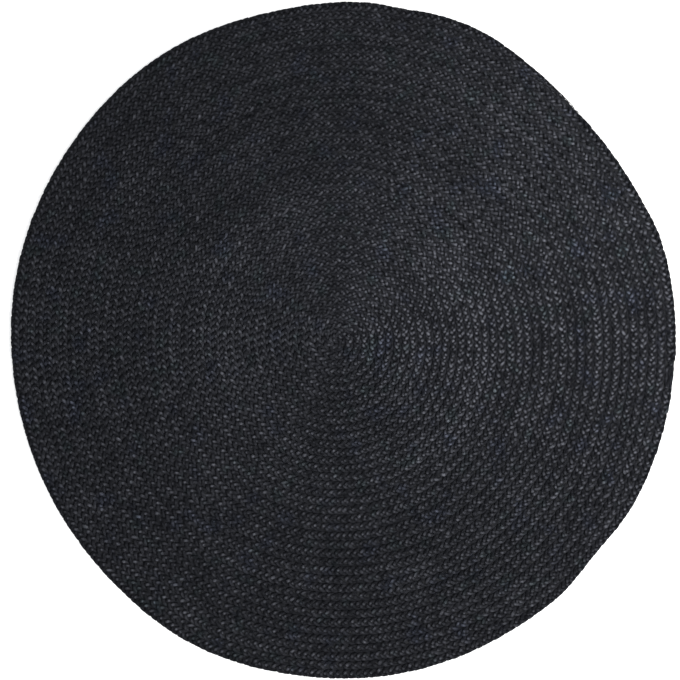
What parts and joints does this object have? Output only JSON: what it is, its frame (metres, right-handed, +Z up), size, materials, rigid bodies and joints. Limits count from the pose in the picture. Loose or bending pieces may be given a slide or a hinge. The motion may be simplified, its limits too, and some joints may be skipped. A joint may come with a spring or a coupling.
{
  "type": "round braided jute rug",
  "caption": "Flat round rug of dark braided jute, coiled outwards from the middle and sewn edge to edge, with raised rows and a slightly uneven rim.",
  "frame": {"origin": "on the floor, below the middle of the rug's bounding box", "axes": "+Z up out of the walking face; +Y towards the top of the view from above, +X to its right"},
  "size_m": [1.4902, 1.5166, 0.01],
  "materials": {
    "jute": "blue-black dyed jute yarn, matt, with a faint fibre sheen along the strands"
  },
  "bodies": {
    "root": {"rug": "jute"}
  },
  "joints": []
}
